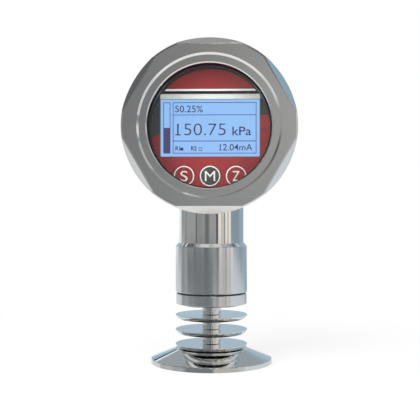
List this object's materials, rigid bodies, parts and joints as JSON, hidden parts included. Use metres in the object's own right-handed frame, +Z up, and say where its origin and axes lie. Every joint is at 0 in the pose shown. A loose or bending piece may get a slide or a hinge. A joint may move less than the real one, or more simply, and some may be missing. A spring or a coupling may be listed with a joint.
{
  "type": "pressure transmitter",
  "caption": "Hygienic pressure transmitter: round display head with screwed lid, swivel neck, cooling fins and clamp ferrule with flush diaphragm.",
  "frame": {"origin": "centre of the clamp ferrule's sealing face, on the process axis", "axes": "+Z up the process axis from the ferrule to the head; the display faces -Y; +X to the right seen from the front"},
  "size_m": [0.087, 0.0841, 0.166],
  "materials": {
    "polished_steel": "mirror-polished stainless steel",
    "tube_steel": "fine-ground and polished stainless steel",
    "turned_steel": "fine-turned satin stainless steel",
    "diaphragm_steel": "bright rolled foil",
    "inner_steel": "machined stainless steel",
    "black_steel": "blackened steel",
    "gland_metal": "nickel-plated brass",
    "gold_pins": "gold-plated",
    "lcd_frame_metal": "matt bright sheet",
    "black_rubber": "matt black elastomer",
    "black_plastic": "moulded black",
    "white_plastic": "white PTFE",
    "clear_plastic": "light guide",
    "print_red": "printed faceplate, red and charcoal fields",
    "print_charcoal": "printed charcoal",
    "lcd": "lit LCD, pale blue",
    "board_green": "solder-masked board",
    "chip_black": "moulded components",
    "window_clear": "clear toughened glass"
  },
  "bodies": {
    "process_connection": {"clamp_ferrule": "polished_steel", "process_diaphragm": "diaphragm_steel", "sensor_capillary": "inner_steel", "cooling_neck": "polished_steel", "coupling_collar": "turned_steel", "stop_pin": "inner_steel", "dust_seal": "black_rubber", "swivel_o_ring": "black_rubber", "swivel_washer": "white_plastic", "swivel_nut": "inner_steel", "pressure_cell": "inner_steel", "cell_pins": "gold_pins", "cell_retaining_ring": "inner_steel"},
    "display_head": {"sensor_sleeve": "turned_steel", "neck_tube": "tube_steel", "head_housing": "turned_steel", "display_carrier": "black_plastic", "faceplate": "print_red", "lcd_frame": "lcd_frame_metal", "lcd_panel": "lcd", "lcd_backlight": "clear_plastic", "lcd_spacer": "black_plastic", "key_switches": "black_plastic", "display_board": "board_green", "module_screws": "inner_steel", "front_pillars": "inner_steel", "rear_pillars": "inner_steel", "main_board": "board_green", "board_parts": "chip_black", "terminal_block": "black_plastic", "terminal_screws": "inner_steel", "gland_washer": "black_rubber", "gland_body": "gland_metal", "gland_seal": "black_rubber", "vent_plug": "gland_metal", "vent_filter": "white_plastic", "earth_clamp": "inner_steel", "earth_screw": "inner_steel"},
    "lid_seal": {"lid_o_ring": "black_rubber"},
    "lid": {"lid_bezel": "turned_steel", "window_gasket": "black_rubber", "window_glass": "window_clear", "window_retaining_ring": "black_steel"},
    "gland_ring": {"gland_slip_ring": "white_plastic"},
    "gland_cap": {"gland_nut": "gland_metal"},
    "s_key": {"key_s": "print_red"},
    "m_key": {"key_m": "print_charcoal"},
    "z_key": {"key_z": "print_red"}
  },
  "joints": [
    {"name": "head_swivel", "type": "hinge", "parent": "process_connection", "child": "display_head", "pos_m": [0, 0, 0.03732], "axis": [0, 0, 1], "range_deg": [-162, 162]},
    {"name": "lid_travel", "type": "slide", "parent": "display_head", "child": "lid_seal", "axis": [0, -1, 0], "range_m": [0, 0.0068]},
    {"name": "lid_turn", "type": "hinge", "parent": "lid_seal", "child": "lid", "pos_m": [0, -0.0177, 0.12252], "axis": [0, -1, 0], "range_deg": [0, 1620]},
    {"name": "gland_travel", "type": "slide", "parent": "display_head", "child": "gland_ring", "axis": [0, 1, 0], "range_m": [0, 0.00605]},
    {"name": "gland_turn", "type": "hinge", "parent": "gland_ring", "child": "gland_cap", "pos_m": [0, 0.0414, 0.12252], "axis": [0, 1, 0], "range_deg": [0, 1440]},
    {"name": "s_press", "type": "slide", "parent": "display_head", "child": "s_key", "axis": [0, 1, 0], "range_m": [0, 0.0005], "stiffness_N_per_m": 1500},
    {"name": "m_press", "type": "slide", "parent": "display_head", "child": "m_key", "axis": [0, 1, 0], "range_m": [0, 0.0005], "stiffness_N_per_m": 1500},
    {"name": "z_press", "type": "slide", "parent": "display_head", "child": "z_key", "axis": [0, 1, 0], "range_m": [0, 0.0005], "stiffness_N_per_m": 1500}
  ],
  "couplings": [
    {"joint": "lid_travel", "follows": "lid_turn", "m_per_rad": 0.00023873},
    {"joint": "gland_travel", "follows": "gland_turn", "m_per_rad": 0.00023873}
  ]
}
